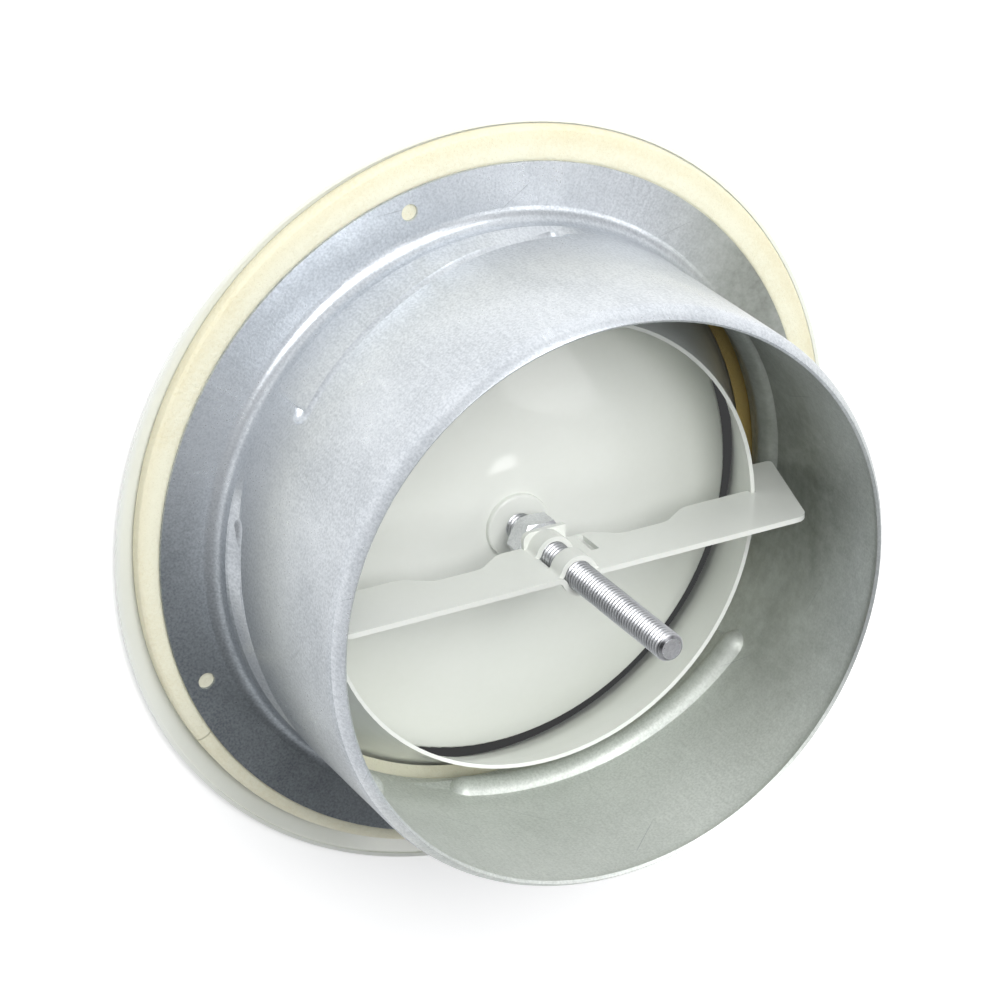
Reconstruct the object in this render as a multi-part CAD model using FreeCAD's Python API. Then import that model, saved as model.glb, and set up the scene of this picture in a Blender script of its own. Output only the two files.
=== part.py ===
import FreeCAD, Part
import math
import os

# Adjustable disc valve for a round duct, with its mounting collar. Millimetres.
# The part stands on its room side, with the duct side up. The origin is on the valve's axis,
# at the lowest point of the face ring. +X runs midway between two of the collar's screw holes.

# Sheet thicknesses
collar_sheet = 0.7
valve_sheet = 0.8
crossbar_sheet = 1.1

# Mounting collar: flange, spigot and inward-bent rim
duct_bore_radius = 62.5
spigot_clearance = 0.5
collar_length = 50.8
flange_width = 12.4
flange_bend_radius = 3.1
rim_bend_radius = 6.5
rim_bend_angle = 43.0
rim_edge_length = 0.3

# Screw holes through the flange: two pairs, each pair the same angle either side of X
screw_hole_radius = 1.8
screw_hole_reach = 8.0
screw_hole_half_angle = 48.2

# Bayonet ramps pressed into the spigot
ramp_count = 4
ramp_start_angle = -9.8
ramp_span_angle = 63.5
ramp_low_height = 7.7
ramp_rise = 8.3
ramp_depth = 2.4
ramp_groove_radius = 2.9
ramp_slope_start = 3.9
ramp_slope_overlap = 0.3
ramp_fade_angle = 12.0

# Valve body: face ring, mouth and nozzle pressed from one sheet
face_flat_width = 10.2
face_slope_width = 11.4
face_dish = 1.2
face_bend_radius = 40.0
face_edge_height = 1.4
face_edge_bend = 1.0
mouth_clearance = 0.5
mouth_bend_radius = 9.0
nozzle_height = 29.9
nozzle_waist_inset = 8.9
nozzle_waist_height = 17.5
nozzle_waist_bend = 80.0
nozzle_throat_inset = 12.5

# Soft foam gasket between the face ring and the flange
gasket_thickness = 3.85
gasket_edge_margin = 3.4
gasket_nozzle_gap = 0.5
gasket_lip_gap = 0.4

# Crossbar: a strip on edge across the nozzle, its two ends shaped as bayonet lugs
crossbar_width = 16.5
notch_depth = 1.2
notch_gap = 0.15
waist_depth = 4.2
waist_start = 10.5
waist_floor_start = 16.0
waist_floor_end = 26.5
waist_end = 32.5
waist_bend = 4.5
lug_wall_gap = 1.3
lug_nozzle_gap = 0.6
lug_lean = 7.4
lug_corner_bend = 3.0
lug_tip_bend = 1.0
lug_ramp_gap = 0.25
lug_ramp_travel = 12.0

# Four bands lanced from the middle of the crossbar hold the spindle's thread. The far one ends
# in a square flange, which the lock nut bears on, and a slot beside them is open for the tool
band_clearance = 0.05
band_lean = 22.0
band_bend = 1.0
far_band_share = 0.32
near_band_share = 0.33
edge_band_width = 1.0
band_flange_width = 9.6
band_flange_bend = 1.8
tool_slot_start = 7.0
tool_slot_width = 1.8
tool_slot_margin = 1.1
tool_slot_length = 6.9

# Spindle and lock nut
spindle_radius = 3.0
spindle_length = 67.5
spindle_chamfer = 0.9
nut_across_flats = 10.0
nut_height = 5.0
nut_chamfer_angle = 30.0
nut_clearance = 0.05

# Valve disc and the hub riveted through its middle
disc_mouth_gap = 6.1
disc_edge_height = 7.9
disc_rise = 9.3
disc_pad_radius = 8.0
disc_edge_bend = 1.3
disc_lip_length = 2.0
hub_flange_radius = 7.0
hub_flange_thickness = 1.3
hub_flange_round = 0.5
hub_neck_radius = 4.4
hub_head_radius = 6.0
hub_head_thickness = 3.0
hub_head_round = 1.4
hub_floor = 0.9

origin = FreeCAD.Vector(0, 0, 0)
x_axis = FreeCAD.Vector(1, 0, 0)
z_axis = FreeCAD.Vector(0, 0, 1)


# Sections are drawn in the XZ plane as (distance from the axis, height)

def direction_between(start, end):
    length = math.hypot(end[0] - start[0], end[1] - start[1])
    return (end[0] - start[0]) / length, (end[1] - start[1]) / length


def moved_point(point, direction, distance):
    return point[0] + direction[0] * distance, point[1] + direction[1] * distance


def section_vector(point):
    return FreeCAD.Vector(point[0], 0, point[1])


def corner_arc(before, corner, after, bend):
    # Start, middle and end of the arc that rounds a corner
    back = direction_between(corner, before)
    onward = direction_between(corner, after)
    half_opening = math.acos(back[0] * onward[0] + back[1] * onward[1]) / 2
    reach = bend / math.tan(half_opening)
    inward = direction_between((0, 0), (back[0] + onward[0], back[1] + onward[1]))
    middle = moved_point(corner, inward, bend / math.sin(half_opening) - bend)
    return moved_point(corner, back, reach), middle, moved_point(corner, onward, reach)


def rounded_edges(corners, bends, closed=False):
    # Straight sides joined by tangent arcs. Bends maps the number of a corner to its radius
    count = len(corners)
    side_starts = list(corners)
    side_ends = list(corners)
    edges = []
    for number, bend in bends.items():
        arc = corner_arc(corners[number - 1], corners[number], corners[(number + 1) % count], bend)
        side_ends[number] = arc[0]
        side_starts[number] = arc[2]
        edges.append(Part.Arc(*[section_vector(point) for point in arc]).toShape())
    for number in range(count if closed else count - 1):
        start = section_vector(side_starts[number])
        end = section_vector(side_ends[(number + 1) % count])
        if start.distanceToPoint(end) > 0.0001:
            edges.append(Part.LineSegment(start, end).toShape())
    return edges


def offset_corners(corners, distance):
    # The same open outline, moved to the left of its direction of travel
    directions = [direction_between(start, end) for start, end in zip(corners, corners[1:])]
    moved = []
    for number, corner in enumerate(corners):
        before = directions[max(number - 1, 0)]
        after = directions[min(number, len(directions) - 1)]
        bisector = direction_between((0, 0), (-before[1] - after[1], before[0] + after[0]))
        stretch = distance / (bisector[1] * after[0] - bisector[0] * after[1])
        moved.append(moved_point(corner, bisector, stretch))
    return moved


def face_of(edges):
    return Part.Face(Part.Wire(Part.__sortEdges__(edges)))


def sheet_section(corners, bends, thickness):
    # A bent sheet of even thickness, which lies to the left of the given outline
    left_corners = offset_corners(corners, thickness)
    left_bends = {}
    for number, bend in bends.items():
        before = direction_between(corners[number - 1], corners[number])
        after = direction_between(corners[number], corners[number + 1])
        turns_left = before[0] * after[1] - before[1] * after[0] > 0
        left_bends[number] = bend - thickness if turns_left else bend + thickness
    edges = rounded_edges(corners, bends) + rounded_edges(left_corners, left_bends)
    for end in (0, -1):
        edges.append(Part.LineSegment(section_vector(corners[end]),
                                      section_vector(left_corners[end])).toShape())
    return face_of(edges)


def revolved(face):
    return face.revolve(origin, z_axis, 360)


def at_angle(shape, angle):
    turned = shape.copy()
    turned.rotate(origin, z_axis, angle)
    return turned


def polar_point(radius, angle, height=0):
    turn = math.radians(angle)
    return FreeCAD.Vector(radius * math.cos(turn), radius * math.sin(turn), height)


# Radii that follow from the duct's bore, from the spigot inwards and outwards
spigot_radius = duct_bore_radius - spigot_clearance
spigot_inner_radius = spigot_radius - collar_sheet
mouth_corner_radius = spigot_inner_radius - mouth_clearance
nozzle_waist_radius = mouth_corner_radius - nozzle_waist_inset
nozzle_throat_radius = mouth_corner_radius - nozzle_throat_inset
face_flat_radius = mouth_corner_radius + face_flat_width
face_radius = face_flat_radius + face_slope_width
gasket_outer_radius = face_radius - gasket_edge_margin
disc_radius = mouth_corner_radius - disc_mouth_gap


# Valve body

# Room-side outline from the throat down the nozzle, round the mouth and out to the face's edge
body_corners = [(nozzle_throat_radius, nozzle_height), (nozzle_waist_radius, nozzle_waist_height),
                (mouth_corner_radius, 0), (face_flat_radius, 0), (face_radius, face_dish),
                (face_radius, face_dish + face_edge_height)]
body_bends = {1: nozzle_waist_bend, 2: mouth_bend_radius, 3: face_bend_radius, 4: face_edge_bend}
throat_back, waist_back, mouth_back, flat_back, edge_back = offset_corners(
    body_corners, valve_sheet)[:5]


def height_between(start, end, radius):
    return start[1] + (end[1] - start[1]) * (radius - start[0]) / (end[0] - start[0])


def radius_between(start, end, height):
    return start[0] + (end[0] - start[0]) * (height - start[1]) / (end[1] - start[1])


def make_valve_body():
    return revolved(sheet_section(body_corners, body_bends, valve_sheet))


# Heights of the collar, set by the foam that the face ring carries
gasket_seat = height_between(flat_back, edge_back, gasket_outer_radius)
flange_bottom = gasket_seat + gasket_thickness
flange_top = flange_bottom + collar_sheet
rim_bend_height = flange_top + collar_length


def make_foam_gasket():
    # It lies on the duct-side face of the ring, and stops short of the bend into the mouth
    bend_start = corner_arc(waist_back, mouth_back, flat_back, mouth_bend_radius - valve_sheet)[2]
    inner_foot = (bend_start[0] + gasket_lip_gap, flat_back[1])
    inner_top = radius_between(waist_back, mouth_back, flange_bottom) + gasket_nozzle_gap
    corners = [(inner_top, flange_bottom), (gasket_outer_radius, flange_bottom),
               (gasket_outer_radius, gasket_seat), flat_back, inner_foot]
    bends = {3: face_bend_radius - valve_sheet}
    return revolved(face_of(rounded_edges(corners, bends, closed=True)))


# Mounting collar

ramp_low = flange_top + ramp_low_height
ramp_middle = ramp_low + ramp_rise / 2
ramp_path_radius = spigot_radius - ramp_depth + ramp_groove_radius
rib_radius = ramp_groove_radius + collar_sheet
ramp_spacing = 360 / ramp_count


def ramp_height(travel):
    # Height of a ramp's middle line, at an angle counted from its low end
    half_span = ramp_span_angle / 2
    share = math.sin(math.radians(travel - half_span)) / math.sin(math.radians(half_span))
    return ramp_middle + ramp_rise / 2 * share


def ramp_form(tube_radius):
    # A round-ended tube along the ramp: part of a ring, in a plane tilted about X
    half_span = ramp_span_angle / 2
    tilt = math.atan2(ramp_rise / 2, ramp_path_radius * math.sin(math.radians(half_span)))
    section = Part.Circle(FreeCAD.Vector(ramp_path_radius, 0, 0), FreeCAD.Vector(0, 1, 0),
                          tube_radius)
    face = at_angle(face_of([section.toShape()]), -half_span)
    form = face.revolve(origin, z_axis, ramp_span_angle)
    for end_angle in (-half_span, half_span):
        form = form.fuse(Part.makeSphere(tube_radius, polar_point(ramp_path_radius, end_angle)))
    form.rotate(origin, x_axis, math.degrees(tilt))
    form.translate(FreeCAD.Vector(0, 0, ramp_middle))
    return form


def ramp_slope(sheet):
    # The wedge between a ramp and the flange bend: its outer face, or with sheet its inner face.
    # It runs on past the ramp's low end, where it fades out
    tube_radius = ramp_groove_radius + sheet
    start = (spigot_radius, flange_top + ramp_slope_start)
    wires = []
    for fraction, depth in ((-1, 0.02), (-0.5, 0.5), (0, 1), (0.25, 1), (0.5, 1), (0.75, 1),
                            (1, 1)):
        span = ramp_fade_angle if fraction < 0 else ramp_span_angle
        travel = fraction * span
        centre = (ramp_path_radius, ramp_height(max(travel, 0)))
        distance = math.hypot(centre[0] - start[0], centre[1] - start[1])
        rise = math.atan2(centre[1] - start[1], centre[0] - start[0])
        turn = rise + math.asin(ramp_groove_radius / distance)
        inward = (-math.sin(turn), math.cos(turn))
        foot = moved_point(start, inward, sheet)
        crest = moved_point(centre, inward, tube_radius - ramp_slope_overlap)
        wall = spigot_radius - sheet
        crest = (wall - (wall - crest[0]) * depth, crest[1])
        upper = centre[1] + tube_radius - ramp_slope_overlap
        corners = [foot, crest, (ramp_path_radius, upper), (ramp_path_radius, foot[1])]
        wire = Part.makePolygon([section_vector(corner) for corner in corners + corners[:1]])
        # Half a sheet longer at the ends, so that the inner face covers the outer one
        extra = math.degrees(sheet / spigot_radius) * (1 if fraction == 1 else 0)
        wires.append(at_angle(wire, travel + extra - ramp_span_angle / 2))
    return Part.makeLoft(wires, True, False)


def around_spigot(ramp):
    first_middle = ramp_start_angle - ramp_span_angle / 2
    return [at_angle(ramp, first_middle + ramp_spacing * number) for number in range(ramp_count)]


def make_mounting_collar():
    # The duct-side outline runs in along the flange, up the spigot and over the rim
    lean = math.radians(rim_bend_angle)
    rim_reach = rim_bend_radius * math.tan(lean / 2)
    rim_corner = (spigot_radius, rim_bend_height + rim_reach)
    rim_end = moved_point(rim_corner, (-math.sin(lean), math.cos(lean)),
                          rim_reach + rim_edge_length)
    corners = [(spigot_radius + flange_width, flange_top), (spigot_radius, flange_top),
               rim_corner, rim_end]
    bends = {1: flange_bend_radius, 2: rim_bend_radius}
    collar = revolved(sheet_section(corners, bends, collar_sheet))
    # Each ramp is a groove outside and a rib of the same sheet inside
    inside = Part.makeCylinder(spigot_radius - collar_sheet / 2, rim_bend_height)
    rib = ramp_form(rib_radius).fuse(ramp_slope(collar_sheet)).common(inside)
    groove = ramp_form(ramp_groove_radius).fuse(ramp_slope(0))
    collar = collar.fuse(around_spigot(rib)).cut(around_spigot(groove))
    for side in (0, 180):
        for half_angle in (-screw_hole_half_angle, screw_hole_half_angle):
            place = polar_point(spigot_radius + screw_hole_reach, side + half_angle, flange_bottom)
            collar = collar.cut(Part.makeCylinder(screw_hole_radius, collar_sheet, place))
    return collar


# Crossbar

lug_angle = ramp_start_angle + ramp_spacing - ramp_span_angle + lug_ramp_travel
lug_tip_radius = spigot_inner_radius - lug_wall_gap
rib_crown = math.sqrt(rib_radius ** 2 - (ramp_path_radius - lug_tip_radius) ** 2)
lug_end = ramp_height(lug_ramp_travel) + rib_crown + lug_ramp_gap
crossbar_far = nozzle_height - notch_depth
crossbar_near = crossbar_far + crossbar_width


def crossbar_half_outline():
    # From the middle of the far edge past the waist, over the nozzle's rim and round the lug
    waist_floor = crossbar_far + waist_depth
    notch_roof = throat_back[1] + notch_gap
    lug_root = radius_between(throat_back, waist_back, lug_end) + lug_nozzle_gap
    return [(waist_start, crossbar_far), (waist_floor_start, waist_floor),
            (waist_floor_end, waist_floor), (waist_end, crossbar_far),
            (nozzle_throat_radius - notch_gap, crossbar_far),
            (nozzle_throat_radius - notch_gap, notch_roof),
            (throat_back[0] + notch_gap, notch_roof),
            (lug_root, lug_end), (lug_tip_radius, lug_end),
            (lug_tip_radius - lug_lean, crossbar_near)]


def make_band(side, low, high):
    # Flat, up over the spindle and down to flat again; side is 1 or -1
    wrap = spindle_radius + band_clearance
    lean = math.radians(band_lean)
    foot = (wrap + math.sin(lean) * crossbar_sheet / 2) / math.cos(lean)
    shoulder = wrap * (1 - math.sin(lean)) / math.cos(lean)
    flat = band_half_length()
    base = -crossbar_sheet / 2
    corners = [(-flat, base), (-foot, base), (-shoulder, wrap), (shoulder, wrap), (foot, base),
               (flat, base)]
    bends = {1: band_bend + crossbar_sheet, 2: wrap, 3: wrap, 4: band_bend + crossbar_sheet}
    section = sheet_section(corners, bends, crossbar_sheet)
    section.rotate(origin, x_axis, -90 * side)
    section.translate(FreeCAD.Vector(0, 0, low))
    return section.extrude(FreeCAD.Vector(0, 0, high - low))


def band_half_length():
    lean = math.radians(band_lean)
    wrap = spindle_radius + band_clearance
    foot = (wrap + math.sin(lean) * crossbar_sheet / 2) / math.cos(lean)
    return foot + (band_bend + crossbar_sheet) * math.tan((math.pi / 2 - lean) / 2) + 0.2


def make_band_flange():
    # A plate across the spindle at the far edge, as high as the bands
    wrap = spindle_radius + band_clearance
    side = band_flange_width / 2
    foot = -crossbar_sheet / 2
    top = wrap + crossbar_sheet
    plate = face_of(rounded_edges([(-side, foot), (side, foot), (side, top), (-side, top)],
                                  {3: band_flange_bend}, closed=True))
    plate.rotate(origin, x_axis, -90)
    plate.translate(FreeCAD.Vector(0, 0, crossbar_far))
    plate = plate.extrude(FreeCAD.Vector(0, 0, crossbar_sheet))
    return plate.cut(Part.makeCylinder(wrap, crossbar_width, FreeCAD.Vector(0, 0, crossbar_far)))


def make_crossbar():
    half = crossbar_half_outline()
    count = len(half)
    corners = half + [(-radius, height) for radius, height in reversed(half)]
    half_bends = {0: waist_bend, 1: waist_bend, 2: waist_bend, 3: waist_bend,
                  count - 2: lug_tip_bend, count - 1: lug_corner_bend}
    bends = dict(half_bends)
    for number, bend in half_bends.items():
        bends[2 * count - 1 - number] = bend
    blank = face_of(rounded_edges(corners, bends, closed=True))
    blank.translate(FreeCAD.Vector(0, -crossbar_sheet / 2, 0))
    bar = blank.extrude(FreeCAD.Vector(0, crossbar_sheet, 0))
    # The lanced middle: bands pass the spindle on one side and on the other by turns
    flat = band_half_length()
    bar = bar.cut(Part.makeBox(2 * flat, crossbar_sheet, crossbar_width,
                               FreeCAD.Vector(-flat, -crossbar_sheet / 2, crossbar_far)))
    far_slit = crossbar_far + crossbar_width * far_band_share
    near_slit = crossbar_near - crossbar_width * near_band_share
    edge_slit = crossbar_near - edge_band_width
    bar = bar.fuse([make_band(1, crossbar_far, far_slit), make_band(-1, far_slit, near_slit),
                    make_band(1, near_slit, edge_slit), make_band(-1, edge_slit, crossbar_near),
                    make_band_flange()])
    slot = Part.makeBox(tool_slot_width, crossbar_sheet, tool_slot_length,
                        FreeCAD.Vector(tool_slot_start, -crossbar_sheet / 2,
                                       crossbar_far + tool_slot_margin))
    return at_angle(bar.cut(slot), lug_angle)


# Disc, hub, spindle and lock nut

disc_top = disc_edge_height + disc_rise
hub_bottom = disc_top - valve_sheet - hub_head_thickness


def make_valve_disc():
    # Dished towards the room: a flat pad, a wide bend and a turned-down edge
    slope = 2 * math.atan(disc_rise / (disc_radius - disc_pad_radius))
    dome_radius = (disc_radius - disc_pad_radius) / math.sin(slope)
    dome_reach = dome_radius * math.tan(slope / 2)
    corners = [(disc_radius, disc_edge_height - disc_lip_length), (disc_radius, disc_edge_height),
               (disc_pad_radius + dome_reach, disc_top), (hub_neck_radius, disc_top)]
    edge_reach = disc_edge_bend * math.tan((math.pi / 2 - slope) / 2)
    bends = {1: disc_edge_bend, 2: (dome_reach - edge_reach) / math.tan(slope / 2)}
    return revolved(sheet_section(corners, bends, valve_sheet))


def make_disc_hub():
    top = disc_top + hub_flange_thickness
    under_disc = disc_top - valve_sheet
    bore_floor = hub_bottom + hub_floor
    corners = [(0, bore_floor), (spindle_radius, bore_floor), (spindle_radius, top),
               (hub_flange_radius, top), (hub_flange_radius, disc_top),
               (hub_neck_radius, disc_top), (hub_neck_radius, under_disc),
               (hub_head_radius, under_disc), (hub_head_radius, hub_bottom), (0, hub_bottom)]
    bends = {3: hub_flange_round, 8: hub_head_round}
    return revolved(face_of(rounded_edges(corners, bends, closed=True)))


def make_spindle():
    bottom = hub_bottom + hub_floor
    rod = Part.makeCylinder(spindle_radius, spindle_length, FreeCAD.Vector(0, 0, bottom))
    end_rim = [edge for edge in rod.Edges
               if edge.BoundBox.ZMin > bottom + spindle_length / 2 and edge.BoundBox.XMax > 0
               and edge.BoundBox.ZMax - edge.BoundBox.ZMin < spindle_chamfer]
    return rod.makeChamfer(spindle_chamfer, end_rim)


def make_lock_nut():
    corner_radius = nut_across_flats / 2 / math.cos(math.radians(30))
    points = [polar_point(corner_radius, lug_angle + 60 * number) for number in range(7)]
    prism = Part.Face(Part.makePolygon(points)).extrude(FreeCAD.Vector(0, 0, nut_height))
    # Both ends are turned down to a circle a little smaller than the flats
    fall = (corner_radius - nut_across_flats / 2) * math.tan(math.radians(nut_chamfer_angle))
    barrel = revolved(face_of(rounded_edges(
        [(0, 0), (nut_across_flats / 2, 0), (corner_radius, fall),
         (corner_radius, nut_height - fall), (nut_across_flats / 2, nut_height),
         (0, nut_height)], {}, closed=True)))
    bore = Part.makeCylinder(spindle_radius + nut_clearance, nut_height)
    nut = prism.common(barrel).cut(bore)
    nut.translate(FreeCAD.Vector(0, 0, crossbar_far - nut_height))
    return nut


pieces = {
    "mounting_collar": make_mounting_collar,
    "foam_gasket": make_foam_gasket,
    "valve_body": make_valve_body,
    "crossbar": make_crossbar,
    "valve_disc": make_valve_disc,
    "disc_hub": make_disc_hub,
    "spindle": make_spindle,
    "lock_nut": make_lock_nut,
}

os.makedirs("parts", exist_ok=True)
for name, make in pieces.items():
    shape = make()
    shape.exportStep(os.path.join("parts", name + ".step"))
    print(name, "solids", len(shape.Solids), "valid", shape.isValid(),
          "volume", round(shape.Volume, 1))
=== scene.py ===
import bpy
import math
from mathutils import Matrix, Vector


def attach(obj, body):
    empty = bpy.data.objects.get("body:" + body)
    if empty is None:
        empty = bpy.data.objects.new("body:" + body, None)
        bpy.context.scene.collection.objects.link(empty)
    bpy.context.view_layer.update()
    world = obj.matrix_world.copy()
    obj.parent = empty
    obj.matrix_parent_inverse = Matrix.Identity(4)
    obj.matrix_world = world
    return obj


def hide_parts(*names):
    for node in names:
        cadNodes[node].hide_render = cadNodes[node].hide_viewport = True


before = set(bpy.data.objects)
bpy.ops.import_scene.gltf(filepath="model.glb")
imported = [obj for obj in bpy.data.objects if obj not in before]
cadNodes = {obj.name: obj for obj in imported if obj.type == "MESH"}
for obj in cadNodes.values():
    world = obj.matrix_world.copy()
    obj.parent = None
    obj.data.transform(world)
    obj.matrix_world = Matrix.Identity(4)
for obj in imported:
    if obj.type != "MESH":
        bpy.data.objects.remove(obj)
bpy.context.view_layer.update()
mm = 0.001
print("frame loaded:", ", ".join(sorted(cadNodes)))


# camera, at the photograph's angle, in metres

cameraView = {
    "place": (-0.48657, 0.15921, 0.70960),
    "right": (0.79291, 0.39879, 0.46071),
    "up": (-0.23875, 0.89896, -0.36724),
    "back": (-0.56062, 0.18119, 0.80801),
    "lens": 151.2,
    "sensorWidth": 36,
    "clip": (0.01, 50),
}


def addCamera(values):
    data = bpy.data.cameras.new("valveCamera")
    data.sensor_width = values["sensorWidth"]
    data.lens = values["lens"]
    data.clip_start, data.clip_end = values["clip"]
    camera = bpy.data.objects.new("valveCamera", data)
    bpy.context.scene.collection.objects.link(camera)
    turn = Matrix((values["right"], values["up"], values["back"])).transposed()
    camera.matrix_world = Matrix.Translation(values["place"]) @ turn.to_4x4()
    bpy.context.scene.camera = camera


addCamera(cameraView)


# lights: three soft panels, and a small lamp for the disc's highlight; metres, watts, degrees

softLights = {
    "keyPanel": {"azimuth": 132, "elevation": 57, "distance": 1.5,
                 "size": (1.0, 1.0), "roll": 0, "power": 17},
    "edgePanel": {"azimuth": 32, "elevation": 54, "distance": 0.5,
                  "size": (0.22, 0.22), "roll": 0, "power": 0.38},
    "lowPanel": {"azimuth": 109, "elevation": 29, "distance": 1.5,
                 "size": (0.9, 0.5), "roll": 0, "power": 4.2},
    "smallLamp": {"azimuth": -13.1, "elevation": 57.9, "distance": 1.5,
                  "size": (0.15, 0.07), "roll": 44, "power": 0.26},
}
lightAim = (0, 0, 0.03)


def addLight(name, values):
    data = bpy.data.lights.new(name, "AREA")
    data.shape = "ELLIPSE"
    data.size, data.size_y = values["size"]
    data.energy = values["power"]
    light = bpy.data.objects.new(name, data)
    bpy.context.scene.collection.objects.link(light)
    azimuth = math.radians(values["azimuth"])
    elevation = math.radians(values["elevation"])
    flat = math.cos(elevation)
    away = Vector((flat * math.cos(azimuth), flat * math.sin(azimuth), math.sin(elevation)))
    turn = away.to_track_quat("Z", "Y").to_matrix().to_4x4()
    turn = turn @ Matrix.Rotation(math.radians(values["roll"]), 4, "Z")
    light.matrix_world = Matrix.Translation(Vector(lightAim) + away * values["distance"]) @ turn


for name, values in softLights.items():
    addLight(name, values)
print("camera and", len(softLights), "lights placed")


# node helpers

def newMaterial(name):
    material = bpy.data.materials.new(name)
    material.use_nodes = True
    tree = material.node_tree
    tree.nodes.clear()
    output = tree.nodes.new("ShaderNodeOutputMaterial")
    output.location = (900, 0)
    shader = tree.nodes.new("ShaderNodeBsdfPrincipled")
    shader.location = (600, 0)
    tree.links.new(shader.outputs["BSDF"], output.inputs["Surface"])
    return material, tree, shader


def put(tree, socket, value):
    # a link if value is a socket, otherwise a fixed value
    if isinstance(value, bpy.types.NodeSocket):
        tree.links.new(value, socket)
    else:
        socket.default_value = value


def mathNode(tree, operation, first, second=None, clamp=False):
    node = tree.nodes.new("ShaderNodeMath")
    node.operation = operation
    node.use_clamp = clamp
    put(tree, node.inputs[0], first)
    if second is not None:
        put(tree, node.inputs[1], second)
    return node.outputs[0]


def times(tree, first, second, clamp=False):
    return mathNode(tree, "MULTIPLY", first, second, clamp)


def plus(tree, first, second, clamp=False):
    return mathNode(tree, "ADD", first, second, clamp)


def vectorNode(tree, operation, first, second=None):
    node = tree.nodes.new("ShaderNodeVectorMath")
    node.operation = operation
    put(tree, node.inputs[0], first)
    if second is not None:
        put(tree, node.inputs[1], second)
    return node.outputs


def remap(tree, value, low, high, newLow=0.0, newHigh=1.0, smooth=False):
    node = tree.nodes.new("ShaderNodeMapRange")
    node.interpolation_type = "SMOOTHSTEP" if smooth else "LINEAR"
    for label, number in (("Value", value), ("From Min", low), ("From Max", high),
                          ("To Min", newLow), ("To Max", newHigh)):
        put(tree, node.inputs[label], number)
    return node.outputs["Result"]


def noiseNode(tree, place, scale, detail=2.0, roughness=0.5, distortion=0.0):
    node = tree.nodes.new("ShaderNodeTexNoise")
    for label, value in (("Vector", place), ("Scale", scale), ("Detail", detail),
                         ("Roughness", roughness), ("Distortion", distortion)):
        put(tree, node.inputs[label], value)
    return node.outputs["Fac"]


def cellNode(tree, place, scale):
    node = tree.nodes.new("ShaderNodeTexVoronoi")
    put(tree, node.inputs["Vector"], place)
    put(tree, node.inputs["Scale"], scale)
    return node.outputs


def blend(tree, share, first, second):
    node = tree.nodes.new("ShaderNodeMix")
    node.data_type = "RGBA"
    put(tree, node.inputs[0], share)
    put(tree, node.inputs[6], first)
    put(tree, node.inputs[7], second)
    return node.outputs[2]


def blendLevels(tree, share, first, second):
    node = tree.nodes.new("ShaderNodeMix")
    put(tree, node.inputs[0], share)
    put(tree, node.inputs[2], first)
    put(tree, node.inputs[3], second)
    return node.outputs[0]


def objectPlace(tree):
    return tree.nodes.new("ShaderNodeTexCoord").outputs["Object"]


def splitUp(tree, vector):
    node = tree.nodes.new("ShaderNodeSeparateXYZ")
    put(tree, node.inputs[0], vector)
    return node.outputs


def towardsSide(tree, angle):
    # distance from the axis towards one side
    turn = math.radians(angle)
    return vectorNode(tree, "DOT_PRODUCT", objectPlace(tree),
                      (math.cos(turn), math.sin(turn), 0))["Value"]


def sideMask(tree, angle, near, far, strength, smooth=True):
    # grows from near to far, which are millimetres from the axis towards one side
    return remap(tree, towardsSide(tree, angle), near * mm, far * mm, 0.0, strength, smooth)


def setBump(tree, shader, height, strength, depth):
    node = tree.nodes.new("ShaderNodeBump")
    node.inputs["Strength"].default_value = strength
    node.inputs["Distance"].default_value = depth * mm
    put(tree, node.inputs["Height"], height)
    put(tree, shader.inputs["Normal"], node.outputs["Normal"])


def newGroup(name, inputs, output):
    group = bpy.data.node_groups.new(name, "ShaderNodeTree")
    for label, value in inputs.items():
        socket = group.interface.new_socket(label, in_out="INPUT", socket_type="NodeSocketFloat")
        socket.default_value = value
    group.interface.new_socket(output, in_out="OUTPUT", socket_type="NodeSocketFloat")
    start = group.nodes.new("NodeGroupInput")
    end = group.nodes.new("NodeGroupOutput")
    return group, start.outputs, end.inputs[output]


def useGroup(tree, group, **values):
    node = tree.nodes.new("ShaderNodeGroup")
    node.node_tree = group
    for label, value in values.items():
        put(tree, node.inputs[label], value)
    return node.outputs[0]


# effects that the finishes use; each gives one mask or measure

def makeBlotches():
    # cloudy patches at two sizes, 0 to 1
    group, given, result = newGroup("blotches", {"Patches": 60.0, "Specks": 900.0,
                                                 "SpeckShare": 0.4}, "Mask")
    place = objectPlace(group)
    wide = remap(group, noiseNode(group, place, given["Patches"], 4.0, 0.6, 0.4), 0.3, 0.7)
    fine = remap(group, noiseNode(group, place, given["Specks"], 2.0, 0.6), 0.33, 0.67)
    change = times(group, mathNode(group, "SUBTRACT", fine, wide), given["SpeckShare"])
    put(group, result, plus(group, wide, change, clamp=True))
    return group


def makeDrawLines():
    # fine lines left by drawing the sheet: they run away from the axis and along it
    group, given, result = newGroup("drawLines", {"Lines": 120.0, "Length": 12.0}, "Mask")
    x, y, z = splitUp(group, objectPlace(group))
    reach = mathNode(group, "SQRT", plus(group, times(group, x, x), times(group, y, y)))
    # the direction from the axis, as a point on a circle, has no seam
    joined = group.nodes.new("ShaderNodeCombineXYZ")
    nonZero = plus(group, reach, 0.1 * mm)
    for number, side in enumerate((x, y)):
        around = times(group, mathNode(group, "DIVIDE", side, nonZero), given["Lines"])
        put(group, joined.inputs[number], around)
    perMetre = mathNode(group, "DIVIDE", 1.0, times(group, given["Length"], mm))
    put(group, joined.inputs[2], times(group, plus(group, reach, z), perMetre))
    lines = noiseNode(group, joined.outputs[0], 1.0, 3.0, 0.6)
    put(group, result, remap(group, lines, 0.3, 0.7))
    return group


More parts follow.
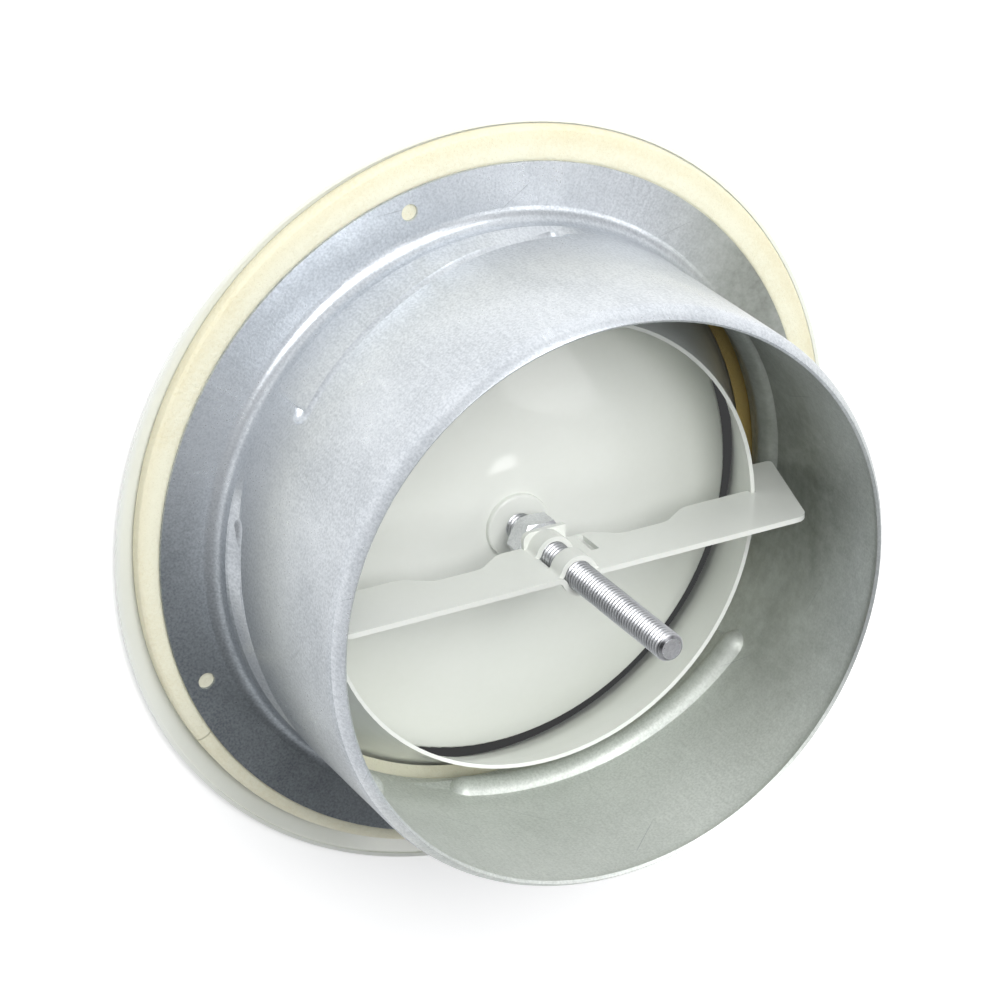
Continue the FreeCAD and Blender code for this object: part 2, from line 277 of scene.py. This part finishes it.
def makeScratches():
    # short straight scratches, each a thin slice through its own cell; lengths in metres
    group, given, result = newGroup("scratches", {"Scale": 60.0, "Width": 0.08 * mm,
                                                  "Length": 6 * mm, "Share": 0.3}, "Mask")
    place = objectPlace(group)
    cells = cellNode(group, place, given["Scale"])
    local = vectorNode(group, "SUBTRACT", place, cells["Position"])[0]
    lean = vectorNode(group, "SUBTRACT", cells["Color"], (0.5, 0.5, 0.5))[0]
    across = vectorNode(group, "NORMALIZE", lean)[0]
    aside = vectorNode(group, "DOT_PRODUCT", local, across)["Value"]
    thin = remap(group, mathNode(group, "ABSOLUTE", aside), 0.0, given["Width"], 1.0, 0.0)
    away = vectorNode(group, "LENGTH", local)["Value"]
    half = times(group, given["Length"], 0.5)
    short = remap(group, away, half, given["Length"], 1.0, 0.0)
    pick = group.nodes.new("ShaderNodeTexWhiteNoise")
    put(group, pick.inputs["Vector"], cells["Position"])
    some = mathNode(group, "LESS_THAN", pick.outputs["Value"], given["Share"])
    put(group, result, times(group, times(group, thin, short), some, clamp=True))
    return group


def makeFromAxis():
    # distance from the valve's axis
    group, given, result = newGroup("fromAxis", {}, "Radius")
    flat = vectorNode(group, "MULTIPLY", objectPlace(group), (1, 1, 0))[0]
    put(group, result, vectorNode(group, "LENGTH", flat)["Value"])
    return group


def makeDust():
    # small dark or pale grains on a surface, in a few of the cells
    group, given, result = newGroup("dust", {"Scale": 300.0, "Grain": 0.12}, "Mask")
    cells = cellNode(group, objectPlace(group), given["Scale"])
    pick = group.nodes.new("ShaderNodeSeparateColor")
    put(group, pick.inputs[0], cells["Color"])
    chosen = mathNode(group, "GREATER_THAN", pick.outputs[0], 0.93)
    dot = remap(group, cells["Distance"], given["Grain"], 0.0, smooth=True)
    put(group, result, times(group, dot, chosen))
    return group


blotches = makeBlotches()
drawLines = makeDrawLines()
scratches = makeScratches()
fromAxis = makeFromAxis()
dust = makeDust()
print("shared effects made")


# finishes; distances and bump depths in millimetres

galvanisedLook = {
    "light": (0.755, 0.785, 0.82, 1),
    "dark": (0.40, 0.43, 0.465, 1),
    "mottle": {"Patches": 38.0, "Specks": 1900.0, "SpeckShare": 0.55},
    "lines": {"Lines": 110.0, "Length": 7.0},
    "lineShare": 0.18,
    # what lies further from the axis than this is outside
    "outerWall": 61.7,
    # painted light: one side of the inner wall is painted paler, where light falls on it
    "paintedLitSideLight": (0.85, 0.875, 0.84, 1),
    "paintedLitSideDark": (0.56, 0.59, 0.55, 1),
    "paintedLitSide": {"angle": -60.0, "near": 15.0, "far": 50.0, "strength": 0.9},
    "paintedLitSideDulling": 0.25,
    # another side is darker and greener: partly real stains, partly painted shade, fading with
    # height
    "stainAndShadeLight": (0.66, 0.69, 0.645, 1),
    "stainAndShadeDark": (0.22, 0.235, 0.19, 1),
    "stainAndShadePatches": {"Patches": 26.0, "Specks": 500.0, "SpeckShare": 0.22},
    "stainAndShade": {"angle": 25.0, "near": 30.0, "far": 58.0, "strength": 0.85},
    "stainAndShadeFade": {"low": 34.0, "high": 52.0, "left": 0.5},
    "stainAndShadeDulling": 0.12,
    # a third side is darker, outside only: a painted dark reflection
    "paintedReflectionLight": (0.40, 0.44, 0.47, 1),
    "paintedReflectionDark": (0.15, 0.17, 0.19, 1),
    "paintedReflection": {"angle": 243.0, "near": 28.0, "far": 74.0, "strength": 0.9},
    "scratch": (0.26, 0.28, 0.30, 1),
    "scratches": {"Scale": 75.0, "Width": 0.09 * mm, "Length": 7 * mm, "Share": 0.35},
    "scratchStrength": 0.65,
    "grain": (0.85, 0.87, 0.88, 1),
    "grains": {"Scale": 260.0, "Grain": 0.10},
    "grainStrength": 0.5,
    "metallic": 0.62,
    "roughness": (0.24, 0.42),
    "lineBump": 0.3,
    "bump": {"strength": 0.3, "depth": 0.06},
}


def makeGalvanised(values):
    material, tree, shader = newMaterial("galvanisedSheet")
    mottle = useGroup(tree, blotches, **values["mottle"])
    lines = useGroup(tree, drawLines, **values["lines"])
    share = values["lineShare"]
    shade = plus(tree, times(tree, mottle, 1 - share), times(tree, lines, share))
    colour = blend(tree, shade, values["dark"], values["light"])

    outer = mathNode(tree, "GREATER_THAN", useGroup(tree, fromAxis), values["outerWall"] * mm)
    inner = mathNode(tree, "SUBTRACT", 1.0, outer)
    # painted light: the inner wall is painted paler on one side
    paintedLitSide = times(tree, inner, sideMask(tree, **values["paintedLitSide"]))
    paintedLitSideColour = blend(tree, shade, values["paintedLitSideDark"], values["paintedLitSideLight"])
    colour = blend(tree, paintedLitSide, colour, paintedLitSideColour)

    # darker, greener patches on one side: partly real stains, partly painted shade
    fade = values["stainAndShadeFade"]
    height = splitUp(tree, objectPlace(tree))["Z"]
    lasting = remap(tree, height, fade["low"] * mm, fade["high"] * mm, 1.0, fade["left"])
    stainAndShade = times(tree, lasting, sideMask(tree, **values["stainAndShade"]))
    patches = useGroup(tree, blotches, **values["stainAndShadePatches"])
    stainAndShadeColour = blend(tree, patches, values["stainAndShadeDark"], values["stainAndShadeLight"])
    colour = blend(tree, stainAndShade, colour, stainAndShadeColour)

    # painted dark reflection on one side of the outside
    paintedReflection = times(tree, sideMask(tree, **values["paintedReflection"]), outer)
    paintedReflectionColour = blend(tree, mottle, values["paintedReflectionDark"], values["paintedReflectionLight"])
    colour = blend(tree, paintedReflection, colour, paintedReflectionColour)

    marks = useGroup(tree, scratches, **values["scratches"])
    colour = blend(tree, times(tree, marks, values["scratchStrength"]), colour, values["scratch"])
    grains = useGroup(tree, dust, **values["grains"])
    colour = blend(tree, times(tree, grains, values["grainStrength"]), colour, values["grain"])
    put(tree, shader.inputs["Base Color"], colour)

    shader.inputs["Metallic"].default_value = values["metallic"]
    smoothest, roughest = values["roughness"]
    dulling = plus(tree, times(tree, stainAndShade, values["stainAndShadeDulling"]),
                   times(tree, paintedLitSide, values["paintedLitSideDulling"]))
    sheen = remap(tree, shade, 0.0, 1.0, roughest, smoothest)
    put(tree, shader.inputs["Roughness"], plus(tree, dulling, sheen))
    relief = plus(tree, times(tree, lines, values["lineBump"]),
                  mathNode(tree, "SUBTRACT", mottle, marks))
    setBump(tree, shader, relief, **values["bump"])
    return material


paintLook = {
    "colour": (0.86, 0.88, 0.84, 1),
    "shade": (0.825, 0.845, 0.795, 1),
    "clouds": {"Patches": 25.0, "Specks": 700.0, "SpeckShare": 0.2},
    "grain": (0.30, 0.30, 0.27, 1),
    "grains": {"Scale": 120.0, "Grain": 0.07},
    "grainStrength": 0.5,
    "roughness": (0.32, 0.42),
    "coat": 0.4,
    "coatRoughness": 0.055,
    "peelScale": 650.0,
    "bump": {"strength": 0.15, "depth": 0.05},
}


def makePaint(values):
    material, tree, shader = newMaterial("whitePaint")
    clouds = useGroup(tree, blotches, **values["clouds"])
    colour = blend(tree, clouds, values["shade"], values["colour"])
    grains = useGroup(tree, dust, **values["grains"])
    colour = blend(tree, times(tree, grains, values["grainStrength"]), colour, values["grain"])
    put(tree, shader.inputs["Base Color"], colour)
    smoothest, roughest = values["roughness"]
    put(tree, shader.inputs["Roughness"], remap(tree, clouds, 0.0, 1.0, roughest, smoothest))
    shader.inputs["Coat Weight"].default_value = values["coat"]
    shader.inputs["Coat Roughness"].default_value = values["coatRoughness"]
    peel = noiseNode(tree, objectPlace(tree), values["peelScale"])
    setBump(tree, shader, peel, **values["bump"])
    return material


zincLook = {
    "light": (0.84, 0.85, 0.875, 1),
    "dark": (0.60, 0.61, 0.635, 1),
    "mottle": {"Patches": 220.0, "Specks": 2500.0, "SpeckShare": 0.5},
    # this dark colour is given to small grains, and to the painted shade between a thread's turns
    "grainsAndRootShade": (0.07, 0.07, 0.075, 1),
    "rootShadeScale": 350.0,
    "rootShadeShare": (0.45, 1.0),
    "grains": {"Scale": 900.0, "Grain": 0.2},
    "grainStrength": 0.5,
    "metallic": 0.9,
    "roughness": (0.26, 0.44),
    "bump": {"strength": 0.15, "depth": 0.03},
}


def threadRootShade(tree, values, deepest, cleanFrom, endHeight):
    # painted shade between a thread's turns, none on its end face
    deep = remap(tree, useGroup(tree, fromAxis), deepest, cleanFrom, 1.0, 0.0)
    below = mathNode(tree, "LESS_THAN", splitUp(tree, objectPlace(tree))["Z"], endHeight)
    least, most = values["rootShadeShare"]
    patches = noiseNode(tree, objectPlace(tree), values["rootShadeScale"])
    uneven = remap(tree, patches, 0.35, 0.65, least, most)
    return times(tree, times(tree, deep, below), uneven)


def makeZinc(name, values, rootShadePlace=None):
    material, tree, shader = newMaterial(name)
    mottle = useGroup(tree, blotches, **values["mottle"])
    colour = blend(tree, mottle, values["dark"], values["light"])
    grains = useGroup(tree, dust, **values["grains"])
    colour = blend(tree, times(tree, grains, values["grainStrength"]), colour, values["grainsAndRootShade"])
    if rootShadePlace:
        # painted shade between the thread's turns
        colour = blend(tree, threadRootShade(tree, values, *rootShadePlace), colour, values["grainsAndRootShade"])
    put(tree, shader.inputs["Base Color"], colour)
    shader.inputs["Metallic"].default_value = values["metallic"]
    smoothest, roughest = values["roughness"]
    put(tree, shader.inputs["Roughness"], remap(tree, mottle, 0.0, 1.0, roughest, smoothest))
    setBump(tree, shader, mottle, **values["bump"])
    return material


foamLook = {
    "colour": (0.89, 0.87, 0.695, 1),
    "clouds": {"Patches": 55.0, "Specks": 1200.0, "SpeckShare": 0.35},
    "cloudAging": 0.45,
    # the outer part is browner
    "brownTone": (0.76, 0.69, 0.46, 1),
    "brownToneFrom": 76.5,
    "brownToneFull": 79.5,
    "brownToneStrength": 0.4,
    "pore": (0.66, 0.62, 0.42, 1),
    "poreScale": 2400.0,
    "poreStrength": 0.35,
    "poreDepth": 0.6,
    # painted shade: on one side the inner edge is painted darker, with a golden tint
    "goldenShade": (0.50, 0.34, 0.06, 1),
    "goldenShadeFull": 63.0,
    "goldenShadeTo": 70.0,
    "goldenShadeStrength": 0.85,
    "goldenShadeSide": {"angle": 22.0, "near": 10.0, "far": 45.0, "strength": 1.0, "smooth": False},
    # the ends of the strip meet in a thin straight joint
    "joint": (0.30, 0.29, 0.17, 1),
    "jointAngle": -123.0,
    "jointWidth": 0.3,
    "jointStrength": 0.7,
    # one small mark of the joint's colour: its middle, and the radii between which it fades
    "speck": (-44.4, -68.3, 3.5),
    "speckRadii": (0.4, 0.9),
    "speckStrength": 0.8,
    "roughness": 0.95,
    "specular": 0.2,
    "sheen": 0.1,
    "sheenRoughness": 0.6,
    "bump": {"strength": 0.5, "depth": 0.25},
}


def makeFoam(values):
    material, tree, shader = newMaterial("creamFoam")
    place = objectPlace(tree)
    radius = useGroup(tree, fromAxis)
    clouds = useGroup(tree, blotches, **values["clouds"])
    outerBrowning = remap(tree, radius, values["brownToneFrom"] * mm, values["brownToneFull"] * mm,
                   0.0, values["brownToneStrength"], smooth=True)
    patchy = remap(tree, clouds, 0.0, 0.6, values["cloudAging"], 0.0)
    colour = blend(tree, plus(tree, outerBrowning, patchy, clamp=True),
                   values["colour"], values["brownTone"])

    cells = cellNode(tree, place, values["poreScale"])
    pores = remap(tree, cells["Distance"], 0.0, 0.35, 1.0, 0.0)
    colour = blend(tree, times(tree, pores, values["poreStrength"]), colour, values["pore"])

    # painted shade on one side of the inner edge, tinted golden
    nearEdge = remap(tree, radius, values["goldenShadeFull"] * mm, values["goldenShadeTo"] * mm,
                     values["goldenShadeStrength"], 0.0)
    goldenShade = times(tree, nearEdge, sideMask(tree, **values["goldenShadeSide"]))
    colour = blend(tree, goldenShade, colour, values["goldenShade"])

    beside = mathNode(tree, "ABSOLUTE", towardsSide(tree, values["jointAngle"] + 90))
    ahead = mathNode(tree, "GREATER_THAN", towardsSide(tree, values["jointAngle"]), 0.0)
    thin = remap(tree, beside, 0.0, values["jointWidth"] * mm, values["jointStrength"], 0.0)
    colour = blend(tree, times(tree, ahead, thin), colour, values["joint"])

    middle = Vector(values["speck"]) * mm
    away = vectorNode(tree, "DISTANCE", place, middle)["Value"]
    inside, outside = values["speckRadii"]
    speck = remap(tree, away, inside * mm, outside * mm, values["speckStrength"], 0.0)
    colour = blend(tree, speck, colour, values["joint"])
    put(tree, shader.inputs["Base Color"], colour)

    shader.inputs["Roughness"].default_value = values["roughness"]
    shader.inputs["Specular IOR Level"].default_value = values["specular"]
    shader.inputs["Sheen Weight"].default_value = values["sheen"]
    shader.inputs["Sheen Roughness"].default_value = values["sheenRoughness"]
    relief = plus(tree, times(tree, pores, -values["poreDepth"]), clouds)
    setBump(tree, shader, relief, **values["bump"])
    return material


galvanised = makeGalvanised(galvanisedLook)
whitePaint = makePaint(paintLook)
zincPlate = makeZinc("zincPlate", zincLook)
creamFoam = makeFoam(foamLook)
print("finishes made")


# the pressed pieces and the nut come from the frame as they are

finishOf = {
    "mounting_collar": galvanised,
    "valve_body": whitePaint,
    "crossbar": whitePaint,
    "valve_disc": whitePaint,
    "disc_hub": whitePaint,
    "lock_nut": zincPlate,
}


def dress(node, material):
    mesh = cadNodes[node].data
    mesh.materials.clear()
    mesh.materials.append(material)


for node, material in finishOf.items():
    dress(node, material)
print("pieces from the frame dressed:", len(finishOf))


# modelling helpers

def selectNone():
    if bpy.context.object and bpy.context.object.mode != "OBJECT":
        objectMode()
    bpy.ops.object.select_all(action="DESELECT")


def objectMode():
    bpy.ops.object.mode_set(mode="OBJECT")


def editMode(choice="SELECT"):
    bpy.ops.object.mode_set(mode="EDIT")
    bpy.ops.mesh.select_all(action=choice)


def makeActive(piece):
    selectNone()
    piece.select_set(True)
    bpy.context.view_layer.objects.active = piece


def selectFaces(piece, test):
    # an operator in edit mode then acts on these faces
    editMode("DESELECT")
    objectMode()
    for face in piece.data.polygons:
        face.select = test(face)
    bpy.ops.object.mode_set(mode="EDIT")


def applyModifier(piece, kind, **values):
    modifier = piece.modifiers.new(kind.lower(), kind)
    for label, value in values.items():
        setattr(modifier, label, value)
    bpy.ops.object.modifier_apply(modifier=modifier.name)


def drawOutline(name, points):
    # a chain of vertices in the XZ plane: one point, then extruded along the outline
    selectNone()
    bpy.ops.mesh.primitive_plane_add(size=mm, location=(0, 0, 0))
    piece = bpy.context.object
    piece.name = name
    editMode()
    bpy.ops.mesh.merge(type="CENTER")
    bpy.ops.transform.translate(value=(points[0][0], 0, points[0][1]))
    for start, end in zip(points, points[1:]):
        step = (end[0] - start[0], 0, end[1] - start[1])
        bpy.ops.mesh.extrude_region_move(TRANSFORM_OT_translate={"value": step})
    objectMode()
    return piece


def finishPiece(piece, body, material, smoothAngle):
    makeActive(piece)
    editMode()
    bpy.ops.mesh.normals_make_consistent(inside=False)
    objectMode()
    bpy.ops.object.transform_apply(location=True, rotation=True, scale=True)
    bpy.ops.object.shade_smooth_by_angle(angle=math.radians(smoothAngle))
    piece.data.materials.clear()
    piece.data.materials.append(material)
    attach(piece, body)


# the spindle gets its real thread; millimetres

threadedSpindle = {
    "pitch": 1.0,
    "radius": 2.99,
    "rootRadius": 2.42,
    "rootWidth": 0.168,
    # the top of a turn is rounded
    "crestRadius": 0.15,
    "crestMiddle": 0.584,
    "crestHalfAngle": 60,
    "crestSteps": 5,
    "bottom": 14.3,
    "top": 81.8,
    "chamfer": 0.9,
    "stepsPerTurn": 48,
    "smoothAngle": 35,
    # the painted shade starts this far above the root, and ends this far below the end face
    "rootShadeAbove": 0.1,
    "rootShadeBelow": 0.02,
}


def threadOutline(values, low):
    # one turn of the thread in section, from root to root
    root = values["rootRadius"] * mm
    pitch = values["pitch"] * mm
    middle = low + values["crestMiddle"] * mm
    rounding = values["crestRadius"] * mm
    centre = values["radius"] * mm - rounding
    points = [(root, low), (root, low + values["rootWidth"] * mm)]
    for number in range(values["crestSteps"] + 1):
        share = 2 * number / values["crestSteps"] - 1
        turn = math.radians(values["crestHalfAngle"] * share)
        points.append((centre + rounding * math.cos(turn), middle + rounding * math.sin(turn)))
    return points + [(root, low + pitch)]


def turnedEnd(radius, chamfer, bottom, top):
    # a bar with a bevelled top, which the threaded rod is cut to: a little wider than the
    # thread, and longer at its bottom
    wider = 0.2 * mm
    length = top - bottom + 4 * mm
    selectNone()
    bpy.ops.mesh.primitive_cylinder_add(vertices=96, radius=radius + wider, depth=length,
                                        location=(0, 0, top - length / 2))
    bar = bpy.context.object
    selectFaces(bar, lambda face: face.normal.z > 0.9)
    bpy.ops.mesh.bevel(offset=chamfer + wider, segments=1)
    objectMode()
    return bar


def makeSpindle(values):
    pitch = values["pitch"] * mm
    crest = values["radius"] * mm
    bottom = values["bottom"] * mm
    top = values["top"] * mm
    low = bottom - 2 * pitch
    piece = drawOutline("threadedSpindle", threadOutline(values, low))
    turns = math.ceil((top - low) / pitch) + 2
    applyModifier(piece, "SCREW", axis="Z", angle=2 * math.pi, screw_offset=pitch,
                  iterations=turns, steps=values["stepsPerTurn"],
                  render_steps=values["stepsPerTurn"], use_merge_vertices=True,
                  merge_threshold=0.002 * mm)
    # its turns are joined, and it is closed at both ends
    editMode()
    bpy.ops.mesh.remove_doubles(threshold=0.005 * mm)
    bpy.ops.mesh.bisect(plane_co=(0, 0, bottom), plane_no=(0, 0, 1), use_fill=True,
                        clear_inner=True, threshold=0.001 * mm)
    bpy.ops.mesh.select_all(action="SELECT")
    bpy.ops.mesh.bisect(plane_co=(0, 0, top + pitch / 2), plane_no=(0, 0, 1), use_fill=True,
                        clear_outer=True, threshold=0.001 * mm)
    bpy.ops.mesh.select_all(action="SELECT")
    bpy.ops.mesh.normals_make_consistent(inside=False)
    objectMode()
    bar = turnedEnd(crest, values["chamfer"] * mm, bottom, top)
    makeActive(piece)
    applyModifier(piece, "BOOLEAN", operation="INTERSECT", solver="EXACT", object=bar)
    bpy.data.objects.remove(bar)
    # where the painted shade between the turns lies
    rootShadePlace = ((values["rootRadius"] + values["rootShadeAbove"]) * mm, crest,
                  top - values["rootShadeBelow"] * mm)
    threadZinc = makeZinc("threadZinc", zincLook, rootShadePlace)
    finishPiece(piece, "disc", threadZinc, values["smoothAngle"])
    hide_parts("spindle")
    return piece


spindle = makeSpindle(threadedSpindle)
print("spindle:", len(spindle.data.polygons), "faces")


# the foam ring bulges, and lies a little to one side; millimetres

foamRing = {
    # radius and height of the ring's section, from its inner top edge outwards and back
    "section": [(59.6, 5.45), (74.45, 5.45), (74.75, 5.78), (75.4, 6.0), (77.4, 5.97),
                (78.6, 5.75), (79.2, 5.2), (79.2, 2.6), (78.35, 1.95), (75.0, 1.32),
                (71.3, 0.86), (66.9, 0.84), (66.3, 1.15), (60.1, 5.05)],
    "steps": 288,
    "offset": 2.15,
    "offsetAngle": 105.0,
    # the parts further out than these radii take these shares of the offset
    "offsetShares": [(77.0, 0.8), (78.0, 0.2)],
    "edgeBevel": 0.12,
    "edgeAngle": 25,
    "smoothAngle": 60,
}


def makeFoamRing(values):
    points = [(radius * mm, height * mm) for radius, height in values["section"]]
    piece = drawOutline("foamRing", points + points[:1])
    editMode()
    bpy.ops.mesh.remove_doubles(threshold=0.01 * mm)
    objectMode()
    applyModifier(piece, "SCREW", axis="Z", angle=2 * math.pi, iterations=1,
                  steps=values["steps"], render_steps=values["steps"],
                  use_merge_vertices=True, merge_threshold=0.01 * mm)
    turn = math.radians(values["offsetAngle"])
    away = Vector((math.cos(turn), math.sin(turn), 0)) * values["offset"] * mm
    radii = [vertex.co.xy.length for vertex in piece.data.vertices]
    for inner, share in values["offsetShares"]:
        editMode("DESELECT")
        objectMode()
        for vertex, radius in zip(piece.data.vertices, radii):
            vertex.select = radius > inner * mm
        bpy.ops.object.mode_set(mode="EDIT")
        bpy.ops.transform.translate(value=away * share)
        objectMode()
    applyModifier(piece, "BEVEL", width=values["edgeBevel"] * mm, segments=2,
                  limit_method="ANGLE", angle_limit=math.radians(values["edgeAngle"]))
    finishPiece(piece, "insert", creamFoam, values["smoothAngle"])
    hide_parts("foam_gasket")
    return piece


foam = makeFoamRing(foamRing)
print("foam ring:", len(foam.data.polygons), "faces")


# floor and world

floorLook = {
    "height": -0.2,
    # a round opening under the valve, which its disc can open through
    "opening": 76.5,
    # how many times wider than the opening the floor is
    "reach": 120.0,
    "colour": (0.9, 0.9, 0.9, 1),
    # added for the camera and for mirror images, so that the floor stays white
    "glow": 0.35,
}


def makeFloorMaterial(values):
    material = bpy.data.materials.new("paleFloor")
    material.use_nodes = True
    tree = material.node_tree
    tree.nodes.clear()
    output = tree.nodes.new("ShaderNodeOutputMaterial")
    matt = tree.nodes.new("ShaderNodeBsdfDiffuse")
    matt.inputs["Color"].default_value = values["colour"]
    glow = tree.nodes.new("ShaderNodeEmission")
    glow.inputs["Color"].default_value = (1, 1, 1, 1)
    rays = tree.nodes.new("ShaderNodeLightPath").outputs
    mirrored = mathNode(tree, "MAXIMUM", rays["Is Glossy Ray"], rays["Is Transmission Ray"])
    seen = mathNode(tree, "MAXIMUM", rays["Is Camera Ray"], mirrored)
    put(tree, glow.inputs["Strength"], times(tree, seen, values["glow"]))
    both = tree.nodes.new("ShaderNodeAddShader")
    put(tree, both.inputs[0], matt.outputs[0])
    put(tree, both.inputs[1], glow.outputs[0])
    put(tree, output.inputs["Surface"], both.outputs[0])
    return material


def makeFloor(values):
    selectNone()
    bpy.ops.mesh.primitive_circle_add(vertices=128, radius=values["opening"] * mm,
                                      location=(0, 0, values["height"] * mm))
    floor = bpy.context.object
    floor.name = "floor"
    editMode()
    bpy.ops.mesh.extrude_region_move()
    bpy.ops.transform.resize(value=(values["reach"], values["reach"], 1))
    bpy.ops.mesh.select_all(action="SELECT")
    bpy.ops.mesh.normals_make_consistent(inside=False)
    objectMode()
    floor.data.materials.append(makeFloorMaterial(values))


worldLook = {
    "tint": (0.97, 0.985, 1.0, 1),
    # brightness by the sine of the elevation
    "levels": [(0.0, 0.95), (0.25, 0.85), (0.6, 0.22), (1.0, 0.16)],
    # a darker patch of ceiling on the far side, where the flange's mirror image looks
    "darkTowards": (0.504, -0.353, 0.788),
    "darkFrom": 0.78,
    "darkFull": 0.98,
    "darkLevel": 0.05,
    # under the floor, seen through its opening
    "belowFrom": -0.1,
    "belowFull": -0.2,
    "belowLevel": 0.05,
}


def makeWorld(values):
    world = bpy.data.worlds.new("studio")
    bpy.context.scene.world = world
    world.use_nodes = True
    tree = world.node_tree
    tree.nodes.clear()
    output = tree.nodes.new("ShaderNodeOutputWorld")
    background = tree.nodes.new("ShaderNodeBackground")
    direction = tree.nodes.new("ShaderNodeTexCoord").outputs["Generated"]
    height = splitUp(tree, direction)["Z"]
    ramp = tree.nodes.new("ShaderNodeValToRGB")
    stops = ramp.color_ramp.elements
    for number, (place, brightness) in enumerate(values["levels"]):
        stop = stops[number] if number < 2 else stops.new(place)
        stop.position = place
        stop.color = (brightness, brightness, brightness, 1)
    put(tree, ramp.inputs[0], height)

    towards = Vector(values["darkTowards"]).normalized()
    facing = vectorNode(tree, "DOT_PRODUCT", direction, towards)["Value"]
    dark = remap(tree, facing, values["darkFrom"], values["darkFull"], smooth=True)
    level = blendLevels(tree, dark, ramp.outputs[0], values["darkLevel"])
    under = remap(tree, height, values["belowFull"], values["belowFrom"], 1.0, 0.0)
    level = blendLevels(tree, under, level, values["belowLevel"])
    put(tree, background.inputs["Strength"], level)
    background.inputs["Color"].default_value = values["tint"]
    put(tree, output.inputs["Surface"], background.outputs[0])


makeFloor(floorLook)
makeWorld(worldLook)
bpy.context.scene.view_settings.view_transform = "Standard"
print("floor and world made")

print("scene ready")
